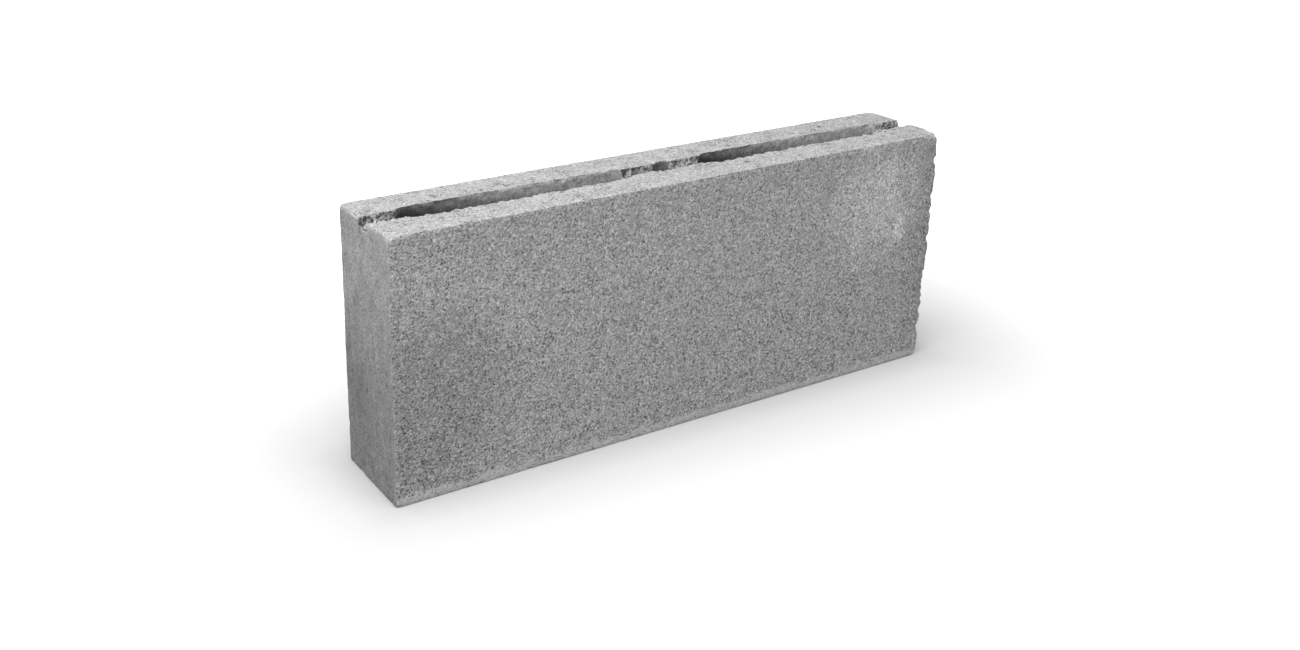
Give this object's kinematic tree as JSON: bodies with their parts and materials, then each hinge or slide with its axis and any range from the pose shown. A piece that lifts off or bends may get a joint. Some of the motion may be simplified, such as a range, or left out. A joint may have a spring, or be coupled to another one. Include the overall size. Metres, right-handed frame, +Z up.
{
  "type": "hollow concrete block",
  "caption": "Slim hollow concrete partition block with long slot cores from bed to bed, a groove along the top bed and a round hole through the middle web.",
  "frame": {"origin": "centre of the bottom bed face", "axes": "+X along the length, +Y through the thickness towards the back face, +Z up from the bottom bed to the grooved top bed"},
  "size_m": [0.5, 0.08, 0.2],
  "materials": {
    "concrete": "matte"
  },
  "bodies": {
    "root": {"block": "concrete"}
  },
  "joints": []
}
